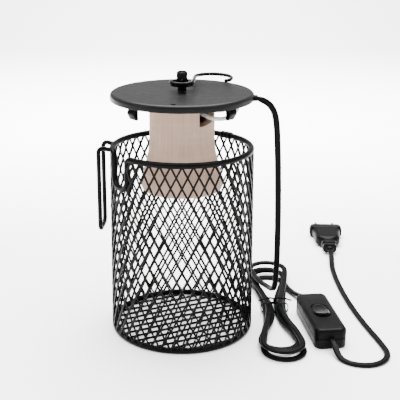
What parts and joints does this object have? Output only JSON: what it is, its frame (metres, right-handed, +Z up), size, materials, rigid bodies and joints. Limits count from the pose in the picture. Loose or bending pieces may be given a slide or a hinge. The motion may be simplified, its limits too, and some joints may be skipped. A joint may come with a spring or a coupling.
{
  "type": "heat lamp fixture",
  "caption": "Brooder heat lamp with a round wire guard cage, a lift-out lid carrying a flared ceramic lampholder and a swivelling hanging hook, and a mains cord with in-line switch and plug.",
  "frame": {"origin": "centre of the cage's base, on the surface it stands on", "axes": "+Z up along the cage's axis, -Y towards the viewer, +X towards the side where the cord leaves"},
  "size_m": [0.2493, 0.3232, 0.2236],
  "materials": {
    "cage_black": "black powder coat, satin",
    "lid_black": "black semi-gloss powder coat",
    "hanger_black": "blackened steel, satin",
    "plated_steel": "zinc plated",
    "brass": "bright, unlacquered",
    "socket_ceramic": "unglazed beige, fine vertical streaks",
    "lead_sleeve": "white woven glass fibre",
    "cord_black": "black flexible sheath, matte",
    "moulded_black": "fine moulded grain",
    "rocker_black": "gloss",
    "pin_metal": "nickel plated"
  },
  "bodies": {
    "cage": {"base_mesh": "cage_black", "base_ring": "cage_black", "cord_drop": "cord_black", "cord_hank": "cord_black", "cord_tie": "cord_black", "cord_to_plug": "cord_black", "cord_to_switch": "cord_black", "pin_sleeve_1": "moulded_black", "pin_sleeve_2": "moulded_black", "plug_body": "moulded_black", "plug_pin_1": "pin_metal", "plug_pin_2": "pin_metal", "plug_strain_relief": "moulded_black", "rim_joint_sleeve": "cage_black", "rim_wire": "cage_black", "rocker_pin": "plated_steel", "side_hook": "cage_black", "switch_base": "moulded_black", "switch_carrier": "moulded_black", "switch_contact_1": "brass", "switch_contact_2": "brass", "switch_cover": "moulded_black", "wall_mesh": "cage_black"},
    "lid": {"centre_contact": "brass", "cord_bushing": "cord_black", "cord_clamp": "cord_black", "hook_washer": "hanger_black", "lead_live": "lead_sleeve", "lead_neutral": "lead_sleeve", "lid_disc": "lid_black", "lock_nut": "plated_steel", "retaining_pin": "plated_steel", "screw_shell": "brass", "sleeve_nut": "hanger_black", "snap_clip_1": "lid_black", "snap_clip_2": "lid_black", "snap_clip_3": "lid_black", "snap_clip_4": "lid_black", "socket_body": "socket_ceramic", "socket_strap": "plated_steel", "spacer_sleeve": "hanger_black", "strap_screw_1": "plated_steel", "strap_screw_2": "plated_steel", "terminal_1": "brass", "terminal_1_screw": "plated_steel", "terminal_2": "brass", "terminal_2_screw": "plated_steel", "threaded_rod": "plated_steel"},
    "hanger": {"hanger_hook": "hanger_black"},
    "rocker": {"switch_rocker": "rocker_black"}
  },
  "joints": [
    {"name": "lid_lift", "type": "slide", "parent": "cage", "child": "lid", "axis": [0, 0, 1], "range_m": [-0.0378, 0.045]},
    {"name": "hook_swivel", "type": "hinge", "parent": "lid", "child": "hanger", "pos_m": [0, 0, 0.2144], "axis": [0, 0, 1], "continuous": true},
    {"name": "rocker_tilt", "type": "hinge", "parent": "cage", "child": "rocker", "pos_m": [0.12, -0.014, 0.0133], "axis": [0.9945, 0.1045, 0], "range_deg": [0, 12]}
  ]
}
